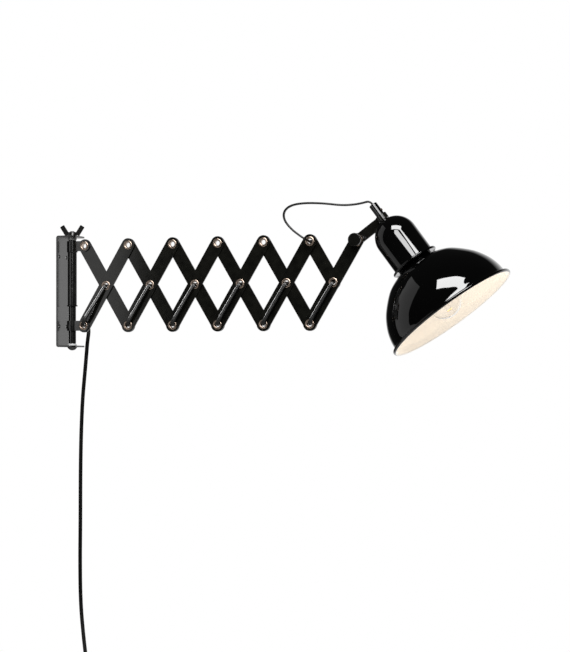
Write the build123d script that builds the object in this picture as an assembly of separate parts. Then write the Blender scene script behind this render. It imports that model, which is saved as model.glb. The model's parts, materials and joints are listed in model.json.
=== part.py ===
from build123d import *
from math import acos, atan2, ceil, cos, degrees, pi, radians, sin, tan
import os

# Accordion wall lamp.  Millimetres, +Z up.  The origin is the centre of the wall plate's back
# face, +X points away from the wall and the scissor opens in the XZ plane.

# ---- scissor arm -------------------------------------------------------------------------
pivot_span = 120.0        # between the end holes of a full bar
rest_angle = 30.6         # a bar from the vertical, as the lamp is shown
open_angle = 45.0         # the same with the arm pulled right out
crossings = 6             # the last one has half a back bar
bar_w = 17.5
bar_t = 2.0
layer_gap = 0.3           # between the front and the back layer of bars
rivet_r = 4.0             # hollow rivet: barrel, bore and rolled flange
rivet_bore_r = 3.2
rivet_flange_r = 6.0
rivet_flange_t = 0.8
running = 0.08            # radial clearance of a turning fit
seated = 0.03             # radial clearance of a fit that stays put
flange_gap = 0.2          # between a rivet's flange and the layer that turns under it
knuckle_pivot = 17.4      # from the spindle's axis to the arm's first pivots

# ---- wall bracket and spindle ------------------------------------------------------------
plate_w = 34.5
plate_h = 144.0
first_pivot_drop = 13.0   # upper first pivot below the plate's top edge
sheet_t = 2.0
sheet_bend = 3.0          # outer radius of the bends
ear_reach = 26.0
ear_corner = 4.0
wall_hole_r = 2.5
wall_hole_pitch_y = 22.0
wall_hole_pitch_z = 90.0
spindle_x = 15.1
bolt_r = 3.0
bolt_head_r = 6.4
bolt_head_h = 4.2
bolt_tip = 1.2            # above the wing nut
tube_r = 4.9
sleeve_r = 5.9
ring_r = 7.0
ring_t = 1.6
top_washer_t = 3.2
bottom_washer_t = 2.4
washer_r = 5.6
end_play = 0.15           # at each end of the tube
nut_hub_h = 5.2
nut_hub_r = 6.7
nut_top_r = 5.4
wing_span = 32.0
wing_rise = 13.6          # wing tips above the ear
wing_w = 7.0
wing_t = 3.2
wing_turn = 14.0          # how far round the nut stands, degrees

# ---- knuckles ----------------------------------------------------------------------------
knuckle_h = 12.8
knuckle_r = 6.9
lug_r = 7.2

# ---- lamp head ---------------------------------------------------------------------------
head_lean = 36.6          # the shade's axis from the vertical
arm_len = 41.9            # from the clamp to the stem's axis
arm_w = 13.2
arm_sleeve_r = 7.4
arm_sleeve_up = 6.2       # of the sleeve above the arm's middle line
stem_r = 5.3
stem_bore_r = 3.3
stem_up = 23.0            # above the arm's middle line
stem_screw_r = 1.6
stem_screw_up = 11.5
neck_top = 1.1            # apex of the neck below the arm's middle line
neck_h = 65.4             # from the flange to the apex
neck_r = 27.0             # straight below its domed top
neck_fillet = 1.0
neck_wall = 1.2
neck_flange_r = 29.7
neck_flange_t = 1.1
neck_bead_r = 1.5         # rolled edge of the flange
shade_wall = 1.0
shade_mouth_r = 20.5      # hole in the top of the shade
shade_depth = 79.9        # from the flange to the rim's lowest edge
shade_bead_r = 2.1
shade_rim_r = 87.0
# outer outline of the shade: radius and depth under the flange
shade_outline = ((24.4, 3.3), (28.2, 4.9), (34.2, 7.2), (41.4, 10.5), (49.0, 15.2), (59.2, 24.6),
                 (67.8, 34.4), (73.9, 44.2), (78.3, 54.0), (80.9, 63.8), (82.1, 73.0))
holder_r = 14.0
holder_top = 40.0         # below the arm's middle line
holder_len = 44.0
holder_wall = 2.0
lamp_r = 22.6             # globe of the lamp bulb
lamp_drop = 59.4          # its centre below the flange
lamp_neck_r = 9.5
cap_r = 6.9
cap_len = 26.0
lamp_len = 78.0
nut_af = 14.0             # nut under the neck, across flats
nut_t = 4.0

# ---- tilt clamp --------------------------------------------------------------------------
clamp_r = 2.5
clamp_washer_r = 7.3
clamp_washer_t = 1.2
knob_r = 8.15
knob_t = 4.0
knob_post_r = 4.0
knob_out = 15.0           # face of the knob in front of the bars' middle plane
clamp_nut_af = 8.0
clamp_nut_t = 4.0

# ---- cable -------------------------------------------------------------------------------
cable_w = 5.0             # flat twin cable, its width
held_r = 2.0              # the cable where the rivets hold it
held_bend = 4.0
held_gap = 0.45           # between the held cable and a flange
coil_pitch = 5.6
coil_turns_in = 4
coil_mid_r = 30.0
tie_w = 7.0
tie_t = 0.8
tie_gap = 0.35
plug_len = 34.0
plug_w = 26.0
plug_t = 13.0
relief_len = 20.0
relief_r = 4.2
pin_r = 2.0
pin_len = 19.0
pin_pitch = 19.0

# Free cable from the top rivet to the stem, picked by eye along its run
loop_route = ((337.9, 0.0, 59.0), (337.9, -10.5, 59.0), (329.5, -13.5, 64.5), (317.5, -13.5, 73.5),
              (308.0, -13.5, 85.0), (307.5, -13.5, 96.0), (316.5, -12.5, 103.5),
              (334.0, -11.0, 106.0), (358.0, -9.0, 105.0), (379.0, -6.0, 102.3),
              (393.0, -3.6, 102.6), (405.0, -1.4, 105.0))
loop_rise = 7.0           # above the stem, where the cable turns down into it
# Free cable from the bottom rivet down past the bracket to the coil
tail_route = ((32.5, 0.0, -44.29), (32.5, 11.5, -44.3), (30.6, 18.0, -52.0), (27.6, 20.5, -64.0),
              (26.0, 21.0, -80.0), (23.8, 21.0, -104.0), (20.2, 21.2, -140.0),
              (18.0, 21.4, -190.0), (17.4, 21.0, -245.0), (17.6, 20.4, -300.0),
              (17.2, 20.0, -355.0), (17.4, 21.6, -408.0), (17.4, 31.0, -452.0),
              (17.4, 40.0, -484.0), (17.4, 40.0, -512.0))

layer_step = bar_t + layer_gap
pitch = pivot_span * sin(radians(rest_angle))
fall = pivot_span * cos(radians(rest_angle))
first_x = spindle_x + knuckle_pivot
first_pivot_z = plate_h / 2 - first_pivot_drop
os.makedirs("parts", exist_ok=True)


def layer(number):
    """Middle of a layer of bars: 0 is the front layer and 1 the back one."""
    return (number - 0.5) * layer_step


def top(i):
    return (first_x + i * pitch, first_pivot_z)


def mid(i):
    return (first_x + (i + 0.5) * pitch, first_pivot_z - fall / 2)


def low(i):
    return (first_x + i * pitch, first_pivot_z - fall)


def facing(x, y, z):
    """Plane whose outward side looks at -Y, with X to the right and Z up."""
    return Plane(origin=(x, y, z), x_dir=(1, 0, 0), z_dir=(0, -1, 0))


def disc(r, t, x, y, z):
    """Round piece of thickness t whose back face is at y and which stands out towards -Y."""
    return extrude(facing(x, y, z) * Circle(r), amount=t)


def upright(r, z0, z1, x=spindle_x, y=0.0):
    return extrude(Plane.XY.offset(z0) * Pos(x, y) * Circle(r), amount=z1 - z0)


def save(shape, name):
    shape.label = name
    export_step(shape, "parts/" + name + ".step")


# ---- bars and rivets -----------------------------------------------------------------------
def bar(a, b, number, width, holes):
    """Flat bar with round ends from a to b in the given layer; holes are (point, radius)."""
    length = ((b[0] - a[0]) ** 2 + (b[1] - a[1]) ** 2) ** 0.5
    angle = degrees(atan2(b[1] - a[1], b[0] - a[0]))
    centre = Pos((a[0] + b[0]) / 2, (a[1] + b[1]) / 2)
    outline = centre * Rot(0, 0, angle) * SlotCenterToCenter(length, width)
    for point, radius in holes:
        outline -= Pos(*point) * Circle(radius)
    solid = extrude(facing(0, layer(number), 0) * outline, amount=bar_t / 2, both=True)
    return chamfer(solid.edges().group_by(Axis.Y)[0], 0.25)


def rivet(point, front, back):
    """Hollow rivet with a rolled flange at each end, between the faces front and back."""
    lip = (rivet_flange_r + rivet_bore_r) / 2
    inner = rivet_flange_t / 4
    # the outline is (radius, distance in front of the back face)
    span = back - front
    outline = Polyline((rivet_r, 0), (rivet_r, span), (rivet_flange_r, span)).edges()
    outline += [ThreePointArc((rivet_flange_r, span), (lip, span + rivet_flange_t),
                              (rivet_bore_r, span + inner)),
                Line((rivet_bore_r, span + inner), (rivet_bore_r, -inner)),
                ThreePointArc((rivet_bore_r, -inner), (lip, -rivet_flange_t),
                              (rivet_flange_r, 0)),
                Line((rivet_flange_r, 0), (rivet_r, 0))]
    face = Plane.XZ * make_face(outline)
    turned = revolve(face, Axis.Z)
    return facing(point[0], back, point[1]).location * turned


front_face = layer(0) - bar_t / 2
back_face = layer(1) + bar_t / 2
knuckle_front = layer(-1) - bar_t / 2
last = crossings - 1
fixed_hole = rivet_r + seated
free_hole = rivet_r + running
clamp_point = top(crossings)

for i in range(crossings):
    upper_r = clamp_r + running if i == last else fixed_hole
    holes = ((low(i), fixed_hole), (mid(i), fixed_hole), (top(i + 1), upper_r))
    save(bar(low(i), top(i + 1), 0, bar_w, holes), f"front_bar_{i + 1}")
    low_front = knuckle_front if i == 0 else front_face
    low_back = back_face + flange_gap
    group = [rivet(low(i), low_front - (flange_gap if i == 0 else 0), low_back),
             rivet(mid(i), front_face, low_back)]
    if i != last:
        group.append(rivet(top(i + 1), front_face, low_back))
    save(Compound(children=group), f"bar_rivets_{i + 1}")
for i in range(last):
    holes = ((top(i), free_hole), (mid(i), free_hole), (low(i + 1), free_hole))
    save(bar(top(i), low(i + 1), 1, bar_w, holes), f"back_bar_{i + 1}")
half_holes = ((top(last), free_hole), (mid(last), free_hole))
save(bar(top(last), mid(last), 1, bar_w, half_holes), "half_bar")


# ---- wall bracket --------------------------------------------------------------------------
def wall_bracket():
    half = plate_h / 2
    outer = Pos(ear_reach / 2, 0) * Rectangle(ear_reach, plate_h)
    inner = Pos(sheet_t + ear_reach / 2, 0) * Rectangle(ear_reach, plate_h - 2 * sheet_t)
    outer = fillet(outer.vertices().group_by(Axis.X)[0], sheet_bend)
    inner = fillet(inner.vertices().group_by(Axis.X)[0], sheet_bend - sheet_t)
    solid = extrude(facing(0, 0, 0) * (outer - inner), amount=plate_w / 2, both=True)
    corners = solid.edges().filter_by(Axis.Z).group_by(Axis.X)[-1]
    solid = fillet(corners, ear_corner)
    for y in (-wall_hole_pitch_y / 2, wall_hole_pitch_y / 2):
        for z in (-wall_hole_pitch_z / 2, wall_hole_pitch_z / 2):
            solid -= Pos(sheet_t / 2, y, z) * Rot(0, 90, 0) * Cylinder(wall_hole_r, 2 * sheet_t)
    return solid - upright(bolt_r + seated, -half - 1, half + 1)


def spindle_bolt():
    half = plate_h / 2
    tip = half + nut_hub_h + bolt_tip
    shank = upright(bolt_r, -half - bolt_head_h / 2, tip)
    shank = chamfer(shank.edges().group_by(Axis.Z)[-1], 0.6)
    sphere_r = (bolt_head_r ** 2 + bolt_head_h ** 2) / (2 * bolt_head_h)
    ball = Pos(spindle_x, 0, -half - bolt_head_h + sphere_r) * Sphere(sphere_r)
    head = ball & upright(bolt_head_r, -half - bolt_head_h, -half)
    return shank + head


def washer(r, z0, z1):
    ring = upright(r, z0, z1) - upright(bolt_r + running, z0 - 1, z1 + 1)
    return chamfer(ring.edges().filter_by(GeomType.CIRCLE).sort_by(SortBy.RADIUS)[-2:], 0.3)


def wing_nut():
    ear_top = plate_h / 2
    hub = extrude(Plane.XY.offset(ear_top) * Circle(nut_hub_r), amount=nut_hub_h,
                  taper=degrees(atan2(nut_hub_r - nut_top_r, nut_hub_h)))
    wings = None
    for side in (-1, 1):
        foot = (side * nut_hub_r * 0.45, ear_top + nut_hub_h * 0.42)
        tip = (side * (wing_span - wing_w) / 2, ear_top + wing_rise - wing_w / 2)
        length = ((tip[0] - foot[0]) ** 2 + (tip[1] - foot[1]) ** 2) ** 0.5
        angle = degrees(atan2(tip[1] - foot[1], tip[0] - foot[0]))
        outline = Pos((foot[0] + tip[0]) / 2, (foot[1] + tip[1]) / 2) * Rot(0, 0, angle)
        outline *= SlotCenterToCenter(length, wing_w)
        wing = extrude(facing(0, 0, 0) * outline, amount=wing_t / 2, both=True)
        wing = fillet(wing.edges().group_by(Axis.Y)[0] + wing.edges().group_by(Axis.Y)[-1], 0.9)
        wings = wing if wings is None else wings + wing
    wings -= Pos(0, 0, ear_top - wing_rise / 2) * Box(wing_span, wing_span, wing_rise)
    nut = hub + wings - Pos(0, 0, ear_top) * Cylinder(bolt_r + seated, 4 * wing_rise)
    return Pos(spindle_x, 0, 0) * Rot(0, 0, wing_turn) * nut


ear_inside = plate_h / 2 - sheet_t
tube_top = ear_inside - top_washer_t - end_play
tube_bottom = -ear_inside + bottom_washer_t + end_play
knuckle_low = first_pivot_z - knuckle_h / 2
# the lower knuckle meets the stop ring as the arm reaches its full opening
stop_z = first_pivot_z - pivot_span * cos(radians(open_angle)) + knuckle_h / 2 + layer_gap
save(wall_bracket(), "wall_bracket")
save(spindle_bolt(), "spindle_bolt")
save(Compound(children=[washer(washer_r, ear_inside - top_washer_t, ear_inside),
                        washer(washer_r, -ear_inside, -ear_inside + bottom_washer_t)]),
     "spindle_washers")
save(wing_nut(), "wing_nut")


# ---- swivel tube and knuckles --------------------------------------------------------------
def ring_on_tube(r, z0, z1, edge):
    solid = upright(r, z0, z1) - upright(tube_r + seated, z0 - 1, z1 + 1)
    return chamfer(solid.edges().filter_by(GeomType.CIRCLE).sort_by(SortBy.RADIUS)[-2:], edge)


def knuckle(point, layers, bore, rivet_hole):
    """Sleeve round the tube with a lug either side of the bar that it carries."""
    z = point[1]
    solid = upright(knuckle_r, z - knuckle_h / 2, z + knuckle_h / 2)
    for number in layers:
        lug = Pos(spindle_x + knuckle_pivot / 2, z) * Rectangle(knuckle_pivot, knuckle_h)
        lug += Pos(*point) * Circle(lug_r)
        solid += extrude(facing(0, layer(number), 0) * lug, amount=bar_t / 2, both=True)
    solid -= upright(bore, z - knuckle_h, z + knuckle_h)
    return solid - disc(rivet_hole, 6 * layer_step, point[0], 3 * layer_step, z)


tube = upright(tube_r, tube_bottom, tube_top)
save(tube - upright(bolt_r + running, tube_bottom - 1, tube_top + 1), "spindle_tube")
save(ring_on_tube(sleeve_r, stop_z + ring_t, knuckle_low - ring_t, 0.3), "spacer_sleeve")
save(Compound(children=[ring_on_tube(ring_r, knuckle_low - ring_t, knuckle_low, 0.4),
                        ring_on_tube(ring_r, stop_z, stop_z + ring_t, 0.4)]), "spacer_rings")
save(knuckle(top(0), (0, 2), tube_r + seated, fixed_hole), "upper_knuckle")
save(rivet(top(0), front_face, layer(2) + bar_t / 2), "upper_knuckle_rivet")
save(knuckle(low(0), (-1, 1), tube_r + running, free_hole), "lower_knuckle")

# ---- tilt clamp ----------------------------------------------------------------------------
kx, kz = clamp_point
washer_front = front_face - clamp_washer_t
clamp_bore = clamp_r + running
ring = disc(clamp_washer_r, clamp_washer_t, kx, front_face, kz)
ring = chamfer(ring.edges().filter_by(GeomType.CIRCLE).group_by(Axis.Y)[0], 0.3)
save(ring - disc(clamp_bore, 8 * clamp_washer_t, kx, back_face, kz), "clamp_washer")
knob = disc(knob_r, knob_t, kx, knob_t - knob_out, kz)
knob = fillet(knob.edges().filter_by(GeomType.CIRCLE), 0.8)
post = disc(knob_post_r, knob_out - knob_t / 2 + washer_front - flange_gap, kx,
            washer_front - flange_gap, kz)
screw_end = back_face + clamp_nut_t + 1.0
screw_top = knob_t / 2 - knob_out
save(knob + post - disc(clamp_r + seated, -screw_top, kx, 0, kz), "clamp_knob")
save(disc(clamp_r, screw_end - screw_top - 0.1, kx, screw_end, kz), "clamp_screw")


# ---- lamp head -----------------------------------------------------------------------------
lean = radians(head_lean)
# local Z runs up the stem, local X out along the arm, and the origin is where they meet
head = Plane(origin=(kx + arm_len * cos(lean), 0, kz + arm_len * sin(lean)),
             x_dir=(cos(lean), 0, sin(lean)), z_dir=(-sin(lean), 0, cos(lean)))
flange_z = -neck_top - neck_h


def turned(edges):
    """Solid of revolution about the stem's axis from an outline of (radius, height)."""
    return head.location * revolve(Plane.XZ * make_face(edges), Axis.Z)


def tube_piece(r, bore, z0, z1):
    """Straight hollow piece on the stem's axis."""
    solid = extrude(Plane.XY.offset(z0) * (Circle(r) - Circle(bore)), amount=z1 - z0)
    return head.location * solid


def rod(r, z0, z1):
    """Straight solid piece on the stem's axis."""
    return head.location * extrude(Plane.XY.offset(z0) * Circle(r), amount=z1 - z0)


def neck_half(inset):
    """Half outline of the neck, the given distance inside its outer face."""
    dome_z = flange_z + neck_h - neck_r
    r = neck_r - inset
    line = Line((r, flange_z + neck_flange_t + neck_fillet), (r, dome_z))
    dome = ThreePointArc((r, dome_z), (r * cos(pi / 4), dome_z + r * sin(pi / 4)), (0, dome_z + r))
    return line, dome


def neck_cap():
    """Straight neck with a domed top, and a flange whose edge is rolled under."""
    side, dome = neck_half(0)
    side_in, dome_in = neck_half(neck_wall)
    base = flange_z + neck_flange_t
    foot_r = neck_r + neck_fillet
    outer = [Line((0, flange_z), (neck_flange_r, flange_z)),
             Line((neck_flange_r, flange_z), (neck_flange_r, base)),
             Line((neck_flange_r, base), (foot_r, base)),
             ThreePointArc((foot_r, base),
                           (foot_r - neck_fillet * sin(pi / 4),
                            base + neck_fillet - neck_fillet * cos(pi / 4)), side @ 0),
             side, dome, Line(dome @ 1, (0, flange_z))]
    step_r = neck_r - neck_wall
    inner = [Line((0, flange_z - 1), (shade_mouth_r + 1, flange_z - 1)),
             Line((shade_mouth_r + 1, flange_z - 1), (shade_mouth_r + 1, base)),
             Line((shade_mouth_r + 1, base), (step_r, base)), Line((step_r, base), side_in @ 0),
             side_in, dome_in, Line(dome_in @ 1, (0, flange_z - 1))]
    bead = head.location * Pos(0, 0, base - neck_bead_r / 2) * Torus(neck_flange_r, neck_bead_r)
    return turned(outer) + bead - turned(inner) - rod(stem_r + seated, -neck_top - 9, 0)


def shade():
    """Spun dome of even wall with a flat top round its mouth and a rolled bead at the rim."""
    outer = [(r, flange_z - s) for r, s in shade_outline]
    inner = []
    for k, (r, z) in enumerate(outer):
        before, after = outer[max(k - 1, 0)], outer[min(k + 1, len(outer) - 1)]
        run = ((after[0] - before[0]) ** 2 + (after[1] - before[1]) ** 2) ** 0.5
        inner.append((r + shade_wall * (after[1] - before[1]) / run,
                      z - shade_wall * (after[0] - before[0]) / run))
    skin_out, skin_in = Spline(*outer), Spline(*inner[::-1])
    top_r, top_z = outer[0]
    edges = [Line((shade_mouth_r, flange_z), (top_r - 1, flange_z)),
             Line((top_r - 1, flange_z), (top_r, top_z)),
             skin_out, Line(skin_out @ 1, skin_in @ 0), skin_in,
             Line(skin_in @ 1, (shade_mouth_r, flange_z - shade_outline[0][1])),
             Line((shade_mouth_r, flange_z - shade_outline[0][1]), (shade_mouth_r, flange_z))]
    body = turned(edges)
    rim_z = flange_z - shade_depth + shade_bead_r
    bead_r = shade_rim_r - shade_bead_r
    end_r, end_z = outer[-1]
    collar = [Line((end_r - shade_wall, end_z + 1), (end_r, end_z + 1)),
              Line((end_r, end_z + 1), (bead_r, rim_z)),
              Line((bead_r, rim_z), (bead_r - shade_wall, rim_z)),
              Line((bead_r - shade_wall, rim_z), (end_r - shade_wall, end_z + 1))]
    bead = head.location * Pos(0, 0, rim_z) * Torus(bead_r, shade_bead_r)
    return body + turned(collar) + bead


def lampholder():
    z1 = -holder_top
    z0 = z1 - holder_len
    block = fillet(rod(holder_r, z0, z1).edges().filter_by(GeomType.CIRCLE)
                   .sort_by(SortBy.RADIUS)[-2:], 1.5)
    stem_hole = rod(stem_r + seated, z1 - holder_wall * 2, z1 + 1)
    socket = rod(cap_r + 4 * running, z0 - 1, lamp_top)
    wires = rod(held_r + running, lamp_top - 1, z1)
    return block - stem_hole - socket - wires


def bulb_glass():
    centre = flange_z - lamp_drop
    neck_z = lamp_top - cap_len
    join = (lamp_r ** 2 - lamp_neck_r ** 2) ** 0.5
    side = atan2(join, lamp_neck_r)
    low_mid = (side - pi / 2) / 2
    globe = ThreePointArc((0, centre - lamp_r),
                          (lamp_r * cos(low_mid), centre + lamp_r * sin(low_mid)),
                          (lamp_neck_r, centre + join))
    edges = [globe, Line(globe @ 1, (cap_r, neck_z)), Line((cap_r, neck_z), (0, neck_z)),
             Line((0, neck_z), (0, centre - lamp_r))]
    return turned(edges)


def head_arm():
    arm = extrude(facing(0, layer(1), 0) * (
        Pos(kx + arm_len * cos(lean) / 2, kz + arm_len * sin(lean) / 2)
        * Rot(0, 0, head_lean) * Rectangle(arm_len, arm_w)
        + Pos(kx, kz) * Circle(arm_w / 2)), amount=bar_t / 2, both=True)
    dome_z = flange_z + neck_h - neck_r
    dome = head.location * Pos(0, 0, dome_z) * Sphere(neck_r + layer_gap)
    sleeve_low = layer_gap - neck_top
    arm = arm - dome + rod(arm_sleeve_r, sleeve_low, arm_sleeve_up)
    arm -= rod(stem_r + seated, sleeve_low - 9, arm_sleeve_up + 9)
    return arm - disc(clamp_bore, 4 * bar_t, kx, 2 * bar_t, kz)


def hex_nut(location, across, thickness, bore):
    outline = RegularPolygon(across / 2, 6, major_radius=False) - Circle(bore)
    return location * extrude(outline, amount=thickness)


def stem():
    z0 = -holder_top - holder_wall
    side = (head.location * Pos(stem_r, 0, stem_screw_up)).position
    pilot = Solid.make_cylinder(stem_screw_r + seated, 2 * stem_r,
                                Plane(side, z_dir=-head.x_dir))
    return chamfer(tube_piece(stem_r, stem_bore_r, z0, stem_up).edges()
                   .filter_by(GeomType.CIRCLE).sort_by(SortBy.RADIUS)[-2:], 0.4) - pilot


def stem_screw():
    """Grub screw in the side of the stem that pinches the cable."""
    out = (head.location * Pos(stem_r + 0.9, 0, stem_screw_up)).position
    return Solid.make_cylinder(stem_screw_r, stem_r - stem_bore_r + 0.9,
                               Plane(out, z_dir=-head.x_dir))


lamp_top = flange_z - lamp_drop - lamp_r + lamp_len
save(head_arm(), "head_arm")
save(stem(), "stem")
save(stem_screw(), "stem_screw")
save(rod(held_r, lamp_top + 1, stem_up), "stem_cable")
save(neck_cap(), "neck_cap")
save(shade(), "shade")
save(lampholder(), "lampholder")
save(bulb_glass(), "bulb_glass")
save(rod(cap_r, lamp_top - cap_len, lamp_top), "bulb_cap")
under_neck = -neck_top - neck_wall - nut_t - 1.4
nuts = [hex_nut(head.location * Pos(0, 0, under_neck), nut_af, nut_t, stem_r + seated),
        hex_nut(facing(kx, back_face + clamp_nut_t, kz).location, clamp_nut_af, clamp_nut_t,
                clamp_bore)]
save(Compound(children=nuts), "head_nuts")


# ---- cable ---------------------------------------------------------------------------------
def cord(points, radii, r):
    """Round cord along straight runs joined by arcs."""
    path = FilletPolyline(*points, radius=radii)
    start = Plane(origin=path @ 0, z_dir=path % 0)
    solid = sweep(start * Circle(r), path=path)
    share = solid.volume / (pi * r * r * path.length)
    return solid, path.length, share


def held_cable(a, b, front_a, front_b):
    """Cable from the middle of one rivet's bore, along a bar's face, into the next one's."""
    points = [(a[0], 0, a[1]), (a[0], front_a, a[1]), (b[0], front_b, b[1]), (b[0], 0, b[1])]
    return cord(points, [held_bend, held_bend], held_r)[0]


def free_radii(points):
    """Each arc as large as its two runs allow."""
    radii = []
    for a, b, c in zip(points, points[1:], points[2:]):
        u, v = Vector(*b) - Vector(*a), Vector(*c) - Vector(*b)
        radii.append(0.45 * min(u.length, v.length) / tan(radians(u.get_angle(v)) / 2))
    return radii


off_front = front_face - rivet_flange_t - held_gap - held_r
off_back = back_face + flange_gap + rivet_flange_t + held_gap + held_r
off_lug = knuckle_front - flange_gap - rivet_flange_t - held_gap - held_r
for i in range(crossings):
    save(held_cable(low(i), mid(i), off_lug if i == 0 else off_front, off_front),
         f"front_cable_{i + 1}")
for i in range(last):
    save(held_cable(mid(i), low(i + 1), off_back, off_back), f"back_cable_{i + 1}")
save(held_cable(mid(last), top(last), off_back, off_back), "half_cable")

into_stem = tuple(tuple((head.location * Pos(0, 0, stem_up + rise)).position)
                  for rise in (loop_rise, 0))
for name, route in (("cable_loop", loop_route + into_stem), ("cable_tail", tail_route)):
    solid, length, share = cord(route, free_radii(route), cable_w / 2)
    print(name, "length", round(length, 1), "share of section times length", round(share, 4))
    print("  radii", [round(r, 1) for r in free_radii(route)])
    save(solid, name)


coil_out_r = coil_mid_r + coil_pitch * (coil_turns_in - 1) / 2


def coil():
    """Coil that hangs from the tail: one layer winds in and the next winds out again.

    The turns are half circles about two centres; between the layers is a half turn that climbs."""
    entry = tail_route[-1]
    cy, cz = entry[1] - coil_out_r, entry[2] - cable_w
    x = entry[0]
    edges = [Line(entry, (x, entry[1], cz))]
    side, r = 1, coil_out_r
    here = Vector(x, entry[1], cz)
    # each half turn's change of radius in pitches, with more room beside the climb
    steps = [-0.5] * (2 * coil_turns_in - 2) + [-0.75, 0.0, 0.75]
    steps += [0.5] * (2 * coil_turns_in - 3)
    for step in steps:
        r_next = r + step * coil_pitch
        tangent = Vector(0, 0, -side)
        there = Vector(x, cy - side * r_next, cz)
        if step:
            edges.append(TangentArc(here, there, tangent=tangent))
        else:
            x -= coil_pitch
            there = Vector(x, cy - side * r_next, cz)
            reach = (there - here).length / 2
            join = (here + there) / 2 + tangent * reach
            edges.append(TangentArc(here, join, tangent=tangent))
            edges.append(TangentArc(join, there, tangent=there - here))
        here, r, side = there, r_next, -side
    # straight past the turns, so that the plug hangs clear of them
    out = Vector(x, here.Y, cz - coil_out_r * 0.73)
    edges.append(Line(here, out))
    path = Wire(edges)
    solid = sweep(Plane(origin=path @ 0, z_dir=path % 0) * Circle(cable_w / 2), path=path)
    share = solid.volume / (pi * cable_w ** 2 / 4 * path.length)
    marks = [path @ (k / ceil(path.length)) for k in range(ceil(path.length) + 1)]
    apart = int(pi * coil_mid_r / 2)
    least = min((a - b).length for k, a in enumerate(marks) for b in marks[k + apart:])
    print("cable_coil length", round(path.length, 1), "share", round(share, 4),
          "least gap to itself", round(least - cable_w, 2))
    return solid, (cy, cz), out


coil_solid, coil_centre, coil_end = coil()
save(coil_solid, "cable_coil")


def coil_tie():
    """Strap round the bundle of turns, at the bottom of the coil."""
    cy, cz = coil_centre
    x_mid = tail_route[-1][0] - coil_pitch / 2
    half_x = coil_pitch / 2 + cable_w / 2 + tie_gap
    # middles of the outer and inner turns where they pass under the centre
    r_a = coil_out_r - coil_pitch * 0.25
    r_b = coil_out_r - coil_pitch * (coil_turns_in - 1 + 0.375)
    bow = r_b - cable_w / 2 - ((r_b - cable_w / 2) ** 2
                               - (tie_w / 2 + coil_pitch * 0.375) ** 2) ** 0.5
    band = (r_a - r_b + bow) / 2 + cable_w / 2 + tie_gap
    outer = RectangleRounded(2 * (half_x + tie_t), 2 * (band + tie_t), cable_w / 2 + tie_t)
    inner = RectangleRounded(2 * half_x, 2 * band, cable_w / 2)
    ring = extrude(Plane.XZ * (outer - inner), amount=tie_w / 2, both=True)
    return Pos(x_mid, cy, cz - (r_a + r_b - bow) / 2) * ring


def plug():
    """Flat two-pin plug hanging pins down, with its tapered strain relief."""
    x, y, z = coil_end
    relief = loft([Plane.XY.offset(z - relief_len) * Circle(relief_r * 1.3),
                   Plane.XY.offset(z) * Circle(relief_r * 0.82)])
    body_z = z - relief_len
    back = Plane.XY.offset(body_z + 0.5) * RectangleRounded(plug_t * 0.9, plug_w * 0.62, 4.5)
    waist = Plane.XY.offset(body_z - plug_len * 0.45) * RectangleRounded(plug_t, plug_w * 0.9, 4.5)
    face = Plane.XY.offset(body_z - plug_len) * RectangleRounded(plug_t, plug_w, 4.5)
    body = loft([back, waist, face], ruled=True)
    return Pos(x, y, 0) * (relief + body)


def plug_pins():
    x, y, z = coil_end
    face_z = z - relief_len - plug_len
    pins = []
    for side in (-1, 1):
        pin = upright(pin_r, face_z - pin_len, face_z, x, y + side * pin_pitch / 2)
        pins.append(fillet(pin.edges().group_by(Axis.Z)[0], pin_r * 0.7))
    return Compound(children=pins)


save(coil_tie(), "coil_tie")
save(plug(), "plug_body")
save(plug_pins(), "plug_pins")
print("tube left below the shut arm", round(first_pivot_z - pivot_span + ear_inside
      - bottom_washer_t - knuckle_h / 2 - layer_gap, 2), "stop ring", round(stop_z, 2))
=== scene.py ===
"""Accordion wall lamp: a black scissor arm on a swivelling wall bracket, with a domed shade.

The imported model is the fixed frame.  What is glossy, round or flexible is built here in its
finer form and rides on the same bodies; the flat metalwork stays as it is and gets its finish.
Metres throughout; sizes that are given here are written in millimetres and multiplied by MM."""
import json
import math

import bmesh
import bpy
from mathutils import Matrix, Vector

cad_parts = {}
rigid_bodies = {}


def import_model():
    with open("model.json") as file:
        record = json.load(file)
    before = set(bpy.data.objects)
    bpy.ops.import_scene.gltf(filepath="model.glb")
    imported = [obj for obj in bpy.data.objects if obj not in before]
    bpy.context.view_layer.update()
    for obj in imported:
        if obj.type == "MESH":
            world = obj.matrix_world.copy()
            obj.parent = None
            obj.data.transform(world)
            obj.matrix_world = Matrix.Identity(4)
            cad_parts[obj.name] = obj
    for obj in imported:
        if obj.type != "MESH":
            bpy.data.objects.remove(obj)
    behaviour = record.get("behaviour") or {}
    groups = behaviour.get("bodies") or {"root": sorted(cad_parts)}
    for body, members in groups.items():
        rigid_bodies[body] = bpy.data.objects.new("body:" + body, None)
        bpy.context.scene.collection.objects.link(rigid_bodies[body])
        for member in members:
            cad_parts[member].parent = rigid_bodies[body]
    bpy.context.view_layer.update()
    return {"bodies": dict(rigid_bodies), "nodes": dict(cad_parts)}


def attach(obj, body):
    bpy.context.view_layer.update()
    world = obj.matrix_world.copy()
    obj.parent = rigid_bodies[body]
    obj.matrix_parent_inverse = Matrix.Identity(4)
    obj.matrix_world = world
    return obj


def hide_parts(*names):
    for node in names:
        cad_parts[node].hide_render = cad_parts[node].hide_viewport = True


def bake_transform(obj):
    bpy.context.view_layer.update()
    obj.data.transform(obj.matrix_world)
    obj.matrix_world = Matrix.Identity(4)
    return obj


bl_info = {
    "name": "Accordion wall lamp",
    "version": (1, 0, 0),
    "blender": (4, 5, 0),
    "location": "View3D > Sidebar > Lamp",
    "description": "Builds an accordion wall lamp around its packed model",
    "category": "Object",
}

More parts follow.
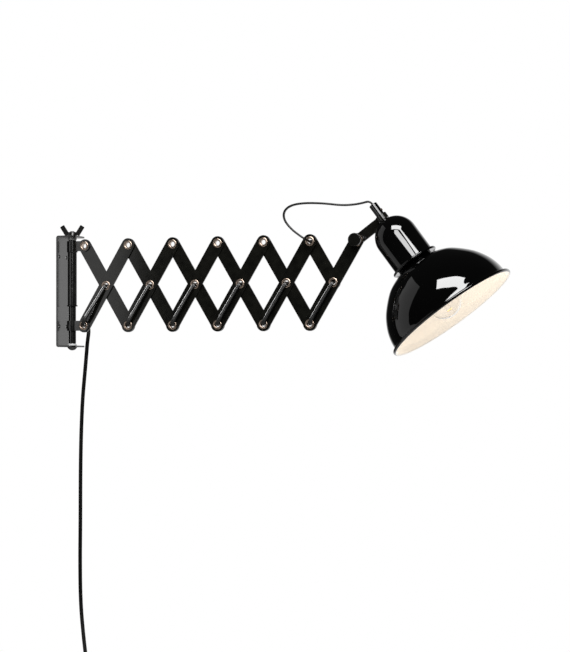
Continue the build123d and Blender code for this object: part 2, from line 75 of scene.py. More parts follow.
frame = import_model()
MM = 0.001

# ---- where things are, as the model has them (millimetres) ------------------------------------
PITCH, FALL = 61.08497, 103.28904      # of the scissor's crossings, and its height
FIRST_X, HIGH_Z = 32.5, 59.0
CROSSINGS = 6
FRONT_FACE, BACK_FACE = -2.15, 2.15    # of the two layers of bars
TILT_PIVOT = Vector((FIRST_X + CROSSINGS * PITCH, 0, HIGH_Z))
BAR_SLOPE = math.radians(30.6)         # of a bar from the vertical, at rest
LEAN = math.radians(36.6)              # of the shade's axis from the vertical
ARM_REACH = 41.9                       # from the clamp to the stem's axis
ARM = Vector((math.cos(LEAN), 0, math.sin(LEAN)))
STEM = Vector((-math.sin(LEAN), 0, math.cos(LEAN)))
HEAD = TILT_PIVOT + ARM_REACH * ARM    # where the arm's middle line meets the stem
FLANGE_Z = -66.5                       # of the shade's seat, along the stem
UP = Vector((0, 0, 1))
OUT = Vector((0, 1, 0))                # across the bars, to the lamp's hidden side


def high(i):
    """Upper pivot of the scissor, counted from the bracket."""
    return Vector((FIRST_X + i * PITCH, 0, HIGH_Z))


def middle(i):
    """Crossing of two bars."""
    return Vector((FIRST_X + (i + 0.5) * PITCH, 0, HIGH_Z - FALL / 2))


def low(i):
    """Lower pivot of the scissor."""
    return Vector((FIRST_X + i * PITCH, 0, HIGH_Z - FALL))


# ---- finishes -----------------------------------------------------------------------------------
def linear(code):
    """Linear colour with alpha from an sRGB hex code."""
    parts = [int(code[i:i + 2], 16) / 255 for i in (1, 3, 5)]
    return tuple(c / 12.92 if c <= 0.04045 else ((c + 0.055) / 1.055) ** 2.4
                 for c in parts) + (1.0,)


def add(tree, kind, links=None, **settings):
    """Adds a node; settings name its properties or inputs, links its inputs' sources."""
    made = tree.nodes.new(kind)
    for key, value in settings.items():
        if hasattr(made, key) and key not in made.inputs:
            setattr(made, key, value)
        else:
            made.inputs[key.replace("_", " ")].default_value = value
    for key, source in (links or {}).items():
        tree.links.new(source, made.inputs[key])
    return made


def finish(name, base, rough, grain=None, **sockets):
    """Principled material; grain is its surface's size and height in mm and roughness swing."""
    made = bpy.data.materials.new(name)
    made.use_nodes = True
    tree = made.node_tree
    tree.nodes.clear()
    shader = add(tree, "ShaderNodeBsdfPrincipled")
    shader.inputs["Base Color"].default_value = linear(base)
    shader.inputs["Roughness"].default_value = rough
    for key, value in sockets.items():
        shader.inputs[key.replace("_", " ")].default_value = value
    add(tree, "ShaderNodeOutputMaterial", {"Surface": shader.outputs[0]})
    if grain:
        size, height, swing = grain
        where = add(tree, "ShaderNodeTexCoord")
        noise = add(tree, "ShaderNodeTexNoise", {"Vector": where.outputs["Object"]},
                    Scale=1 / (size * MM), Detail=3.0, Roughness=0.55)
        if height:
            bump = add(tree, "ShaderNodeBump", {"Height": noise.outputs["Fac"]},
                       Strength=1.0, Distance=height * MM)
            tree.links.new(bump.outputs[0], shader.inputs["Normal"])
        if swing:
            spread = add(tree, "ShaderNodeMapRange", {"Value": noise.outputs["Fac"]},
                         From_Min=0.3, From_Max=0.7, To_Min=rough - swing, To_Max=rough + swing)
            tree.links.new(spread.outputs[0], shader.inputs["Roughness"])
    return made


def tint(material, dark, light, size):
    """Clouds the base colour between two codes, size mm across."""
    tree = material.node_tree
    shader = next(n for n in tree.nodes if n.type == "BSDF_PRINCIPLED")
    where = add(tree, "ShaderNodeTexCoord")
    noise = add(tree, "ShaderNodeTexNoise", {"Vector": where.outputs["Object"]},
                Scale=1 / (size * MM), Detail=4.0)
    ramp = add(tree, "ShaderNodeValToRGB", {"Fac": noise.outputs["Fac"]})
    stops = ramp.color_ramp.elements
    stops[0].position, stops[0].color = 0.35, linear(dark)
    stops[1].position, stops[1].color = 0.65, linear(light)
    tree.links.new(ramp.outputs[0], shader.inputs["Base Color"])
    return material


def finishes():
    """All materials of the lamp, by short name."""
    look = bpy.context.scene.lamp_finish
    made = {}
    # Stoved enamel on rolled steel: a smooth, even sheen over a faint orange peel
    made["bar"] = tint(finish("stoved enamel on steel strip", look.enamel, 0.10,
                              (2.4, 0.0005, 0.02), IOR=1.48), "#0C0C0A", "#141411", 9.0)
    # The same enamel on pressed steel, thicker and a little glossier
    made["bracket"] = tint(finish("stoved enamel on pressed steel", look.enamel, 0.2,
                                  (2.6, 0.001, 0.03), IOR=1.7), "#0E0E0E", "#191918", 12.0)
    # Nickel on brass eyelets: warm, bright, with fine drawing marks
    made["nickel"] = finish("nickel on brass", "#B3A192", 0.30, (1.5, 0, 0.04),
                            Metallic=1.0)
    # Zinc on turned steel, gone dull: pale grey, with hardly any reflection
    made["zinc"] = finish("dull zinc on turned steel", "#DCDDDC", 0.5, (0.4, 0.005, 0.05),
                          Metallic=0.1)
    # Wet black enamel, sprayed and stoved: sharp reflections, black beneath
    made["gloss"] = finish("gloss black enamel", look.gloss, 0.035, (6.0, 0.001, 0.01), IOR=1.52,
                           Coat_Weight=0.6, Coat_Roughness=0.02)
    # White enamel inside the shade: warm and even, lit a little by the bulb's light; the rest of
    # its brightness is painted light, a glow given by its emission
    made["white"] = finish("white enamel", look.inside, 0.3, (3.0, 0.0015, 0.04), IOR=1.5,
                           Emission_Color=linear(look.inside), Emission_Strength=look.painted_glow)
    # Flat twin PVC flex, extruded: satin, with a soft highlight along each core
    made["flex"] = finish("black PVC flex", look.flex, 0.28, (6.0, 0.0004, 0.02), IOR=1.42)
    # Phenolic, moulded: nearly black, with a dim sheen
    made["knob"] = finish("matt phenolic", "#0B0B09", 0.2, (1.6, 0.0008, 0.03), IOR=1.42)
    # Clear blown glass: almost nothing but its rim shows
    made["glass"] = finish("clear blown glass", "#FFFFFF", 0.02, None, IOR=1.45,
                           Transmission_Weight=1.0)
    # Tungsten wire, hot: a small amber glow
    made["filament"] = finish("glowing tungsten", "#C98A3C", 0.5, None,
                              Emission_Color=linear("#E0A860"), Emission_Strength=look.filament)
    # Rolled brass of the bulb's screw cap: yellow, brushed by its thread
    made["brass"] = finish("plain brass", "#B08D4A", 0.3, (0.6, 0.006, 0.05), Metallic=1.0)
    # White phenolic, moulded: creamy, with a soft gloss
    made["holder"] = finish("white phenolic", "#EDE6DA", 0.35, (0.8, 0.006, 0.04), IOR=1.55)
    # Moulded PVC of the plug: dull black, slightly grained
    made["plug"] = finish("black moulded PVC", "#141414", 0.45, (0.5, 0.012, 0.05), IOR=1.5)
    # Nylon, extruded: black, a little glossier than the plug
    made["tie"] = finish("black nylon", "#101010", 0.4, (0.7, 0.01, 0.05), IOR=1.5)
    return made


# ---- mesh helpers -------------------------------------------------------------------------------
def keep(name, mesh, material, body, nodes):
    """Makes a finished piece: on its body, in place of the CAD nodes, with its material."""
    piece = bpy.data.objects.new(name, mesh)
    bpy.context.scene.collection.objects.link(piece)
    for one in material if isinstance(material, (list, tuple)) else [material]:
        if one.name not in [m.name for m in mesh.materials if m]:
            mesh.materials.append(one)
    if body:
        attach(piece, body)
    if nodes:
        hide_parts(*nodes)
    return piece


def on_stem(r, z, angle):
    """Point at radius r and height z of the head's axis."""
    across = ARM * math.cos(angle) + OUT * math.sin(angle)
    return (HEAD + across * r + STEM * z) * MM


def lathe(name, outline, place=on_stem, sides=160, closed=True):
    """Surface of revolution; outline is (radius, height, finish) and may end on the axis."""
    bm = bmesh.new()
    rings = []
    for r, z, _ in outline:
        count = 1 if r < 1e-6 else sides
        rings.append([bm.verts.new(place(r, z, 2 * math.pi * k / sides)) for k in range(count)])
    pairs = list(zip(rings, rings[1:], outline))
    if closed:
        pairs.append((rings[-1], rings[0], outline[-1]))
    for a, b, (_, _, index) in pairs:
        if len(a) == len(b) == 1:
            continue
        for k in range(sides):
            n = (k + 1) % sides
            corners = [a[k % len(a)], a[n % len(a)], b[n % len(b)], b[k % len(b)]]
            corners = list(dict.fromkeys(corners))
            face = bm.faces.new(corners)
            face.material_index = index
    bmesh.ops.recalc_face_normals(bm, faces=bm.faces)
    mesh = bpy.data.meshes.new(name)
    bm.to_mesh(mesh)
    bm.free()
    mesh.shade_smooth()
    mesh.set_sharp_from_angle(angle=math.radians(38))
    return mesh


def curve_through(points, steps):
    """Catmull-Rom line through the points."""
    ends = [2 * points[0] - points[1], *points, 2 * points[-1] - points[-2]]
    line = []
    for a, b, c, d in zip(ends, ends[1:], ends[2:], ends[3:]):
        for k in range(steps):
            t = k / steps
            line.append(0.5 * (2 * b + (c - a) * t + (2 * a - 5 * b + 4 * c - d) * t * t
                               + (3 * b - a - 3 * c + d) * t ** 3))
    return [*line, points[-1]]


def arc(centre, r, start, end, steps, squash=1.0):
    """Points of an arc, angles in degrees from the outward direction towards the stem's top."""
    return [Vector((centre[0] + r * math.cos(math.radians(start + (end - start) * k / steps)),
                    centre[1] + squash * r * math.sin(math.radians(
                        start + (end - start) * k / steps)))) for k in range(steps + 1)]


def smoothing_tree():
    """Welds a solid's loose triangles and shades its turned faces smooth."""
    tree = bpy.data.node_groups.get("smooth turned faces")
    if tree:
        return tree
    tree = bpy.data.node_groups.new("smooth turned faces", "GeometryNodeTree")
    for side in ("INPUT", "OUTPUT"):
        tree.interface.new_socket("Geometry", in_out=side, socket_type="NodeSocketGeometry")
    angle = tree.interface.new_socket("Sharp angle", in_out="INPUT", socket_type="NodeSocketFloat")
    angle.default_value = math.radians(32)
    start = add(tree, "NodeGroupInput")
    welded = add(tree, "GeometryNodeMergeByDistance", {"Geometry": start.outputs["Geometry"]},
                 Distance=0.002 * MM)
    corner = add(tree, "GeometryNodeInputMeshEdgeAngle")
    soft = add(tree, "FunctionNodeCompare", data_type="FLOAT", operation="LESS_THAN")
    tree.links.new(corner.outputs["Unsigned Angle"], soft.inputs["A"])
    tree.links.new(start.outputs["Sharp angle"], soft.inputs["B"])
    faces = add(tree, "GeometryNodeSetShadeSmooth", {"Geometry": welded.outputs[0]}, domain="FACE")
    edges = add(tree, "GeometryNodeSetShadeSmooth",
                {"Geometry": faces.outputs[0], "Shade Smooth": soft.outputs[0]}, domain="EDGE")
    add(tree, "NodeGroupOutput", {"Geometry": edges.outputs[0]})
    return tree


def dress(nodes, material):
    """Gives solids that stay as they are their finish, without touching their meshes."""
    for name in nodes:
        node = frame["nodes"][name]
        node.data.materials.clear()
        node.data.materials.append(material)
        node.modifiers.new("smooth", "NODES").node_group = smoothing_tree()


def realized(piece):
    """Plain mesh of an object with its modifiers, which is then removed."""
    bpy.context.view_layer.update()
    graph = bpy.context.evaluated_depsgraph_get()
    mesh = bpy.data.meshes.new_from_object(piece.evaluated_get(graph), depsgraph=graph)
    bpy.data.objects.remove(piece)
    return mesh


def spline_object(name, points):
    """NURBS curve with the points as its control points."""
    data = bpy.data.curves.new(name, "CURVE")
    data.dimensions = "3D"
    data.resolution_u = 10
    line = data.splines.new("NURBS")
    line.points.add(len(points) - 1)
    for spot, p in zip(line.points, points):
        spot.co = (*p, 1)
    line.order_u = 3
    line.use_endpoint_u = True
    piece = bpy.data.objects.new(name, data)
    bpy.context.scene.collection.objects.link(piece)
    return piece


def centreline(name, points):
    """The points of the cord's NURBS spline, in order."""
    mesh = realized(spline_object(name, points))
    line = [v.co.copy() for v in mesh.vertices]
    bpy.data.meshes.remove(mesh)
    return line


GROOVE = 0.32          # depth of the valley between the cable's two cores, of its half thickness


def flat_tube(name, line, across, width, thick, sides=20, groove=GROOVE):
    """Closed tube of oval section along a line; across is its wide direction at the start."""
    bm = bmesh.new()
    rings = []
    for k, p in enumerate(line):
        along = (line[min(k + 1, len(line) - 1)] - line[max(k - 1, 0)]).normalized()
        across = (across - along * across.dot(along)).normalized()
        other = along.cross(across)
        ring = []
        for s in range(sides):
            a = 2 * math.pi * s / sides
            dip = 1 - groove * (1 - math.cos(a) ** 2) ** 4
            ring.append(bm.verts.new(p + across * (width / 2 * math.cos(a))
                                     + other * (thick / 2 * math.sin(a) * dip)))
        rings.append(ring)
    for a, b in zip(rings, rings[1:]):
        for k in range(sides):
            n = (k + 1) % sides
            bm.faces.new([a[k], a[n], b[n], b[k]])
    bm.faces.new(rings[0][::-1])
    bm.faces.new(rings[-1])
    bmesh.ops.recalc_face_normals(bm, faces=bm.faces)
    mesh = bpy.data.meshes.new(name)
    bm.to_mesh(mesh)
    bm.free()
    mesh.shade_smooth()
    mesh.set_sharp_from_angle(angle=math.radians(50))
    return mesh


# ---- settings -----------------------------------------------------------------------------------
class LampFinish(bpy.types.PropertyGroup):
    """Colours and strengths that a user would change."""
    enamel: bpy.props.StringProperty(name="Arm enamel", default="#141412",
                                     description="sRGB code of the arm and bracket")
    gloss: bpy.props.StringProperty(name="Shade enamel", default="#040404",
                                    description="sRGB code of the outside of the shade")
    inside: bpy.props.StringProperty(name="Inside of the shade", default="#FBF2E5",
                                     description="sRGB code of the inside of the shade")
    flex: bpy.props.StringProperty(name="Flex", default="#0B0B0A",
                                   description="sRGB code of the cable")
    # Strength of the glow painted onto the inside of the shade as emission, standing in for light
    # that falls on it
    painted_glow: bpy.props.FloatProperty(name="Glow", default=0.50, min=0.0, max=5.0,
                                  description="Light that the inside of the shade gives back")
    filament: bpy.props.FloatProperty(name="Filament", default=0.6, min=0.0, max=100.0,
                                      description="Strength of the filament's light")


class LampSizes(bpy.types.PropertyGroup):
    """Sizes that a user would change, in metres."""
    shade_wall: bpy.props.FloatProperty(name="Shade wall", default=1.0 * MM, unit="LENGTH",
                                        description="Thickness of the shade's sheet")
    bead: bpy.props.FloatProperty(name="Rim bead", default=2.1 * MM, unit="LENGTH",
                                  description="Radius of the rolled rim of the shade")
    flex_width: bpy.props.FloatProperty(name="Flex width", default=5.0 * MM, unit="LENGTH",
                                        description="Width of the flat twin cable")
    flex_thick: bpy.props.FloatProperty(name="Flex thickness", default=3.1 * MM, unit="LENGTH",
                                        description="Thickness of the flat twin cable")
    eyelet: bpy.props.FloatProperty(name="Eyelet flange", default=6.0 * MM, unit="LENGTH",
                                    description="Outer radius of the hollow rivets' flanges")
    bore: bpy.props.FloatProperty(name="Eyelet bore", default=3.2 * MM, unit="LENGTH",
                                  description="Radius of the hollow rivets' bore")


# ---- stage --------------------------------------------------------------------------------------
CAMERA = Vector((1049.0, -2329.8, -104.5))                      # fitted to the photograph
AZIMUTH = math.radians(17.71)
FRAME_W, FOCAL, RISE = 570, 1951.5, 46.2      # its width, focal length and upward shift, px
FLOOR_SPOT, FLOOR_R = Vector((0.3, 0, -1.15)), 3.2              # metres
RIGHT = Vector((math.cos(AZIMUTH), math.sin(AZIMUTH), 0))
BACK = Vector((math.sin(AZIMUTH), -math.cos(AZIMUTH), 0))       # towards the camera


def studio_direction(right, up, back):
    """Direction in the room from how far right, up and towards the camera it points."""
    return (RIGHT * right + UP * up + BACK * back).normalized()


def softbox(name, direction, far, size, power, along=UP, aim=(500, -50, 0), flagged=(),
            only=()):
    """Rectangular soft light that faces a point, flagged off some pieces or on some only."""
    data = bpy.data.lights.new(name, "AREA")
    data.shape = "RECTANGLE"
    data.size, data.size_y = size
    data.energy = power
    light = bpy.data.objects.new(name, data)
    bpy.context.scene.collection.objects.link(light)
    out = studio_direction(*direction)
    side = along.cross(out).normalized()
    light.matrix_world = Matrix((side, out.cross(side), out)).transposed().to_4x4()
    light.location = Vector(aim) * MM + out * far
    light.visible_camera = False
    if flagged or only:
        linked = bpy.data.collections.new(name + " flag")
        for piece in flagged or only:
            linked.objects.link(piece)
        light.light_linking.receiver_collection = linked
        for entry in linked.collection_objects:
            entry.light_linking.link_state = "EXCLUDE" if flagged else "INCLUDE"


class LAMP_OT_stage(bpy.types.Operator):
    """Camera, studio light, backdrop and floor"""
    bl_idname = "lamp.stage"
    bl_label = "Studio"

    def execute(self, context):
        scene = context.scene
        data = bpy.data.cameras.new("camera")
        data.sensor_fit = "HORIZONTAL"
        data.sensor_width = 36.0
        data.lens = data.sensor_width * FOCAL / FRAME_W
        data.shift_y = RISE / FRAME_W
        data.clip_start, data.clip_end = 0.1, 100.0
        eye = bpy.data.objects.new("camera", data)
        scene.collection.objects.link(eye)
        eye.location = CAMERA * MM
        eye.rotation_euler = (math.radians(90), 0, AZIMUTH)
        scene.camera = eye

        scene.view_settings.view_transform = "Standard"
        world = bpy.data.worlds.new("studio")
        scene.world = world
        world.use_nodes = True
        tree = world.node_tree
        tree.nodes.clear()
        # white paper behind and above the lamp, dark room on the camera's side
        where = add(tree, "ShaderNodeTexCoord")
        behind = add(tree, "ShaderNodeVectorMath", {0: where.outputs["Generated"]},
                     operation="DOT_PRODUCT")
        behind.inputs[1].default_value = studio_direction(0.45, -0.15, -0.90)
        ramp = add(tree, "ShaderNodeValToRGB", {"Fac": behind.outputs["Value"]})
        stops = ramp.color_ramp.elements
        stops[0].position, stops[0].color = 0.70, (0.012, 0.012, 0.012, 1)
        stops[1].position, stops[1].color = 0.93, (0.95, 0.95, 0.95, 1)
        room = add(tree, "ShaderNodeBackground", {"Color": ramp.outputs[0]}, Strength=1.0)
        paper = add(tree, "ShaderNodeBackground", Strength=1.0)
        paper.inputs["Color"].default_value = (1, 1, 1, 1)
        seen = add(tree, "ShaderNodeLightPath")
        both = add(tree, "ShaderNodeMixShader", {0: seen.outputs["Is Camera Ray"],
                                                 1: room.outputs[0], 2: paper.outputs[0]})
        add(tree, "ShaderNodeOutputWorld", {"Surface": both.outputs[0]})

        softbox("key", (-0.10, 0.80, 0.58), 1.5, (1.20, 0.60), 28)
        softbox("left panel", (-0.965, 0.16, -0.22), 1.6, (1.1, 2.0), 2.4)

        # pale floor that fades out towards its edge
        floor = bpy.data.meshes.new("floor")
        bm = bmesh.new()
        bmesh.ops.create_circle(bm, cap_ends=True, segments=96, radius=FLOOR_R)
        bmesh.ops.translate(bm, verts=bm.verts, vec=FLOOR_SPOT)
        bm.to_mesh(floor)
        bm.free()
        paper_floor = finish("matt white paper", "#F2F2F0", 0.9)
        soft = paper_floor.node_tree
        shader = next(n for n in soft.nodes if n.type == "BSDF_PRINCIPLED")
        spot = add(soft, "ShaderNodeTexCoord")
        centre = add(soft, "ShaderNodeVectorMath", {0: spot.outputs["Object"]},
                     operation="SUBTRACT")
        centre.inputs[1].default_value = FLOOR_SPOT
        far = add(soft, "ShaderNodeVectorMath", {0: centre.outputs[0]}, operation="LENGTH")
        fade = add(soft, "ShaderNodeMapRange", {"Value": far.outputs["Value"]},
                   From_Min=0.8, From_Max=3.0, To_Min=1.0, To_Max=0.0)
        soft.links.new(fade.outputs[0], shader.inputs["Alpha"])
        floor.materials.append(paper_floor)
        ground = bpy.data.objects.new("floor", floor)
        scene.collection.objects.link(ground)
        return {"FINISHED"}


# ---- free cable ---------------------------------------------------------------------------------
# Control points in metres, from the last eyelet up and over to the stem
LOOP = [(0.3379, 0.0, 0.0590), (0.3379, -0.0105, 0.0590), (0.3295, -0.0135, 0.0645),
        (0.3175, -0.0135, 0.0735), (0.3080, -0.0135, 0.0850), (0.3075, -0.0135, 0.0960),
        (0.3165, -0.0125, 0.1035), (0.3340, -0.0110, 0.1060), (0.3580, -0.0090, 0.1050),
        (0.3790, -0.0060, 0.1023), (0.3930, -0.0036, 0.1026), (0.4056, -0.0014, 0.1045),
        (0.41535, 0.0, 0.10728), (0.41894, 0.0, 0.10244)]
# From the lowest eyelet by the bracket down to the coil
TAIL = [(0.0325, 0.0, -0.04429), (0.0325, 0.0115, -0.0443), (0.0306, 0.0180, -0.0520),
        (0.0276, 0.0205, -0.0640), (0.0260, 0.0210, -0.0800), (0.0238, 0.0210, -0.1040),
        (0.0202, 0.0212, -0.1400), (0.0180, 0.0214, -0.1900), (0.0174, 0.0210, -0.2450),
        (0.0176, 0.0204, -0.3000), (0.0172, 0.0200, -0.3550), (0.0174, 0.0216, -0.4080),
        (0.0174, 0.0310, -0.4520), (0.0174, 0.0400, -0.4840), (0.0174, 0.0400, -0.5120)]
COIL_CENTRE = Vector((17.4, 1.6, -517.0))
COIL_RADII = [38.4, 35.6, 32.8, 30.0, 27.2, 24.4, 21.6, 17.4, 17.4, 21.6, 24.4, 27.2, 30.0,
              32.8, 35.6]
COIL_STEP, CLIMB = 5.6, 7              # between the layers, and the half turn that climbs
PLUG_TOP = -545.0


def coil_points(per_half=8):
    """The coil's turns: in on one layer, a climbing half turn, and out on the next."""
    points = []
    for half, (a, b) in enumerate(zip(COIL_RADII, COIL_RADII[1:])):
        for k in range(per_half):
            t = k / per_half
            turn = math.pi * (half + t)
            # the spline runs inside its points by this share
            r = (a + (b - a) * t) / math.cos(math.pi / per_half / 2)
            climb = min(max(half + t - CLIMB, 0), 1)
            x = -COIL_STEP * climb * climb * (3 - 2 * climb)
            spot = Vector((x, r * math.cos(turn), -r * math.sin(turn)))
            points.append((COIL_CENTRE + spot) * MM)
    return points


class LAMP_OT_free_flex(bpy.types.Operator):
    """Free cable: the loop to the stem, and the lead with its coil"""
    bl_idname = "lamp.free_flex"
    bl_label = "Free cable"

    def execute(self, context):
        size, look = context.scene.lamp_sizes, made_finishes["flex"]
        wide, thick = size.flex_width, size.flex_thick
        line = centreline("loop route", [Vector(p) for p in LOOP])
        halfway = len(line) // 2
        across = Vector((-math.cos(BAR_SLOPE), 0, math.sin(BAR_SLOPE)))
        first = keep("cable_loop_arm", flat_tube("cable_loop_arm", line[:halfway + 1], across,
                                                 wide, thick), look, None, ["cable_loop"])
        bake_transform(first)
        side = self.side_at(line, across, halfway)
        second = keep("cable_loop_head", flat_tube("cable_loop_head", line[halfway:], side,
                                                   wide, thick), look, None, [])
        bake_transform(second)

        route = [Vector(p) for p in TAIL] + coil_points()
        end = (COIL_CENTRE + Vector((-COIL_STEP, COIL_RADII[-1], 0))) * MM
        route += [end, Vector((end.x, end.y, (end.z + PLUG_TOP * MM) / 2)),
                  Vector((end.x, end.y, PLUG_TOP * MM))]
        line = centreline("lead route", route)
        lead = keep("cable_lead", flat_tube("cable_lead", line, Vector((1, 0, 0.3)), wide, thick,
                                            sides=16), look, "lower_knuckle",
                    ["cable_tail", "cable_coil"])
        return {"FINISHED"}

    @staticmethod
    def run(line):
        """Length of a line."""
        return sum((b - a).length for a, b in zip(line, line[1:]))

    @staticmethod
    def side_at(line, across, index):
        """The tube's wide direction part of the way along."""
        for k in range(index + 1):
            along = (line[min(k + 1, len(line) - 1)] - line[max(k - 1, 0)]).normalized()
            across = (across - along * across.dot(along)).normalized()
        return across


# ---- held cable ---------------------------------------------------------------------------------
def strand_tree():
    """Sweeps the flat twin cable along a strand, its wide side along the given direction."""
    tree = bpy.data.node_groups.new("flat cable strand", "GeometryNodeTree")
    for side in ("INPUT", "OUTPUT"):
        tree.interface.new_socket("Geometry", in_out=side, socket_type="NodeSocketGeometry")
    for label, kind in (("Width", "Float"), ("Thickness", "Float"), ("Wide direction", "Vector"),
                        ("Material", "Material")):
        tree.interface.new_socket(label, in_out="INPUT", socket_type="NodeSocket" + kind)
    start = add(tree, "NodeGroupInput")
    turned = add(tree, "GeometryNodeSetCurveNormal",
                 {"Curve": start.outputs["Geometry"], "Normal": start.outputs["Wide direction"]},
                 mode="FREE")
    ring = add(tree, "GeometryNodeCurvePrimitiveCircle", Resolution=20, Radius=0.5)
    size = add(tree, "ShaderNodeCombineXYZ", {"X": start.outputs["Width"],
                                              "Y": start.outputs["Thickness"]})
    # the valley between the two cores, as in flat_tube
    spot = add(tree, "ShaderNodeSeparateXYZ",
               {0: add(tree, "GeometryNodeInputPosition").outputs[0]})
    value = spot.outputs["X"]
    for operation, number in (("MULTIPLY", 2.0), ("POWER", 2.0), ("SUBTRACT", None),
                              ("POWER", 4.0), ("MULTIPLY", -GROOVE), ("MULTIPLY", None)):
        step = add(tree, "ShaderNodeMath", operation=operation)
        if operation == "SUBTRACT":
            step.inputs[0].default_value = 1.0
            tree.links.new(value, step.inputs[1])
        else:
            tree.links.new(value, step.inputs[0])
            if number is None:
                tree.links.new(spot.outputs["Y"], step.inputs[1])
            else:
                step.inputs[1].default_value = number
        value = step.outputs[0]
    dip = add(tree, "ShaderNodeCombineXYZ", {"Y": value})
    waisted = add(tree, "GeometryNodeSetPosition", {"Geometry": ring.outputs[0],
                                                    "Offset": dip.outputs[0]})
    section = add(tree, "GeometryNodeTransform",
                  {"Geometry": waisted.outputs[0], "Scale": size.outputs[0]})
    swept = add(tree, "GeometryNodeCurveToMesh",
                {"Curve": turned.outputs[0], "Profile Curve": section.outputs[0]},
                Fill_Caps=True)
    real = add(tree, "GeometryNodeRealizeInstances", {"Geometry": swept.outputs[0]})
    dressed = add(tree, "GeometryNodeSetMaterial", {"Geometry": real.outputs[0],
                                                    "Material": start.outputs["Material"]})
    add(tree, "NodeGroupOutput", {"Geometry": dressed.outputs[0]})
    return tree


def set_input(modifier, label, value):
    """Sets a tree's input on its modifier by the socket's identifier."""
    for item in modifier.node_group.interface.items_tree:
        if item.item_type == "SOCKET" and item.in_out == "INPUT" and item.name == label:
            modifier[item.identifier] = value
            return
    raise RuntimeError("no input " + label)


HELD_FRONT, HELD_BACK, HELD_LUG = -5.4, 5.6, -7.9   # middle of the strand at each layer
# Control points of a strand: the eyelet they are counted from, how far up the bar (mm), and how
# far out, as a share of the values above; slack stands it off its bar near the lower eyelet
STRAND = [("low", 0, 0), ("low", 0, 0.7), ("low", 2.5, 1.15), ("low", 11, 1.48), ("low", 20, 1.42),
          ("high", -17, 1.22), ("high", -6, 1.0), ("high", -1, 0.82), ("high", 0, 0.4),
          ("high", 0, 0)]


class LAMP_OT_held_flex(bpy.types.Operator):
    """Cable threaded from eyelet to eyelet along the bars"""
    bl_idname = "lamp.held_flex"
    bl_label = "Held cable"

    def execute(self, context):
        runs = [(f"front_cable_{i + 1}", f"front_bar_{i + 1}", low(i), middle(i),
                 HELD_LUG if i == 0 else HELD_FRONT, HELD_FRONT) for i in range(CROSSINGS)]
        runs += [(f"back_cable_{i + 1}", f"back_bar_{i + 1}", middle(i), low(i + 1), HELD_BACK,
                  HELD_BACK) for i in range(CROSSINGS - 1)]
        runs.append(("half_cable", "half_bar", middle(CROSSINGS - 1), high(CROSSINGS - 1),
                     HELD_BACK, HELD_BACK))
        tree = strand_tree()
        size = context.scene.lamp_sizes
        for node, body, a, b, out_a, out_b in runs:
            # the strand runs up its bar, from the lower eyelet to the upper one
            ends = {"low": (a, out_a), "high": (b, out_b)}
            if a.z > b.z:
                ends = {"low": (b, out_b), "high": (a, out_a)}
            rise = (ends["high"][0] - ends["low"][0]).normalized()
            route = []
            for end, along, share in STRAND:
                spot, out = ends[end]
                route.append(spot + OUT * out * share + rise * along)
            strand = spline_object(node + "_route", [p * MM for p in route])
            mod = strand.modifiers.new("strand", "NODES")
            mod.node_group = tree
            set_input(mod, "Width", size.flex_width)
            set_input(mod, "Thickness", size.flex_thick)
            set_input(mod, "Wide direction", (b - a).normalized().cross(OUT))
            set_input(mod, "Material", made_finishes["flex"])
            mesh = realized(strand)
            mesh.name = node + "_flex"
            mesh.shade_smooth()
            mesh.set_sharp_from_angle(angle=math.radians(50))
            keep(node + "_flex", mesh, made_finishes["flex"], body, [node])
        return {"FINISHED"}


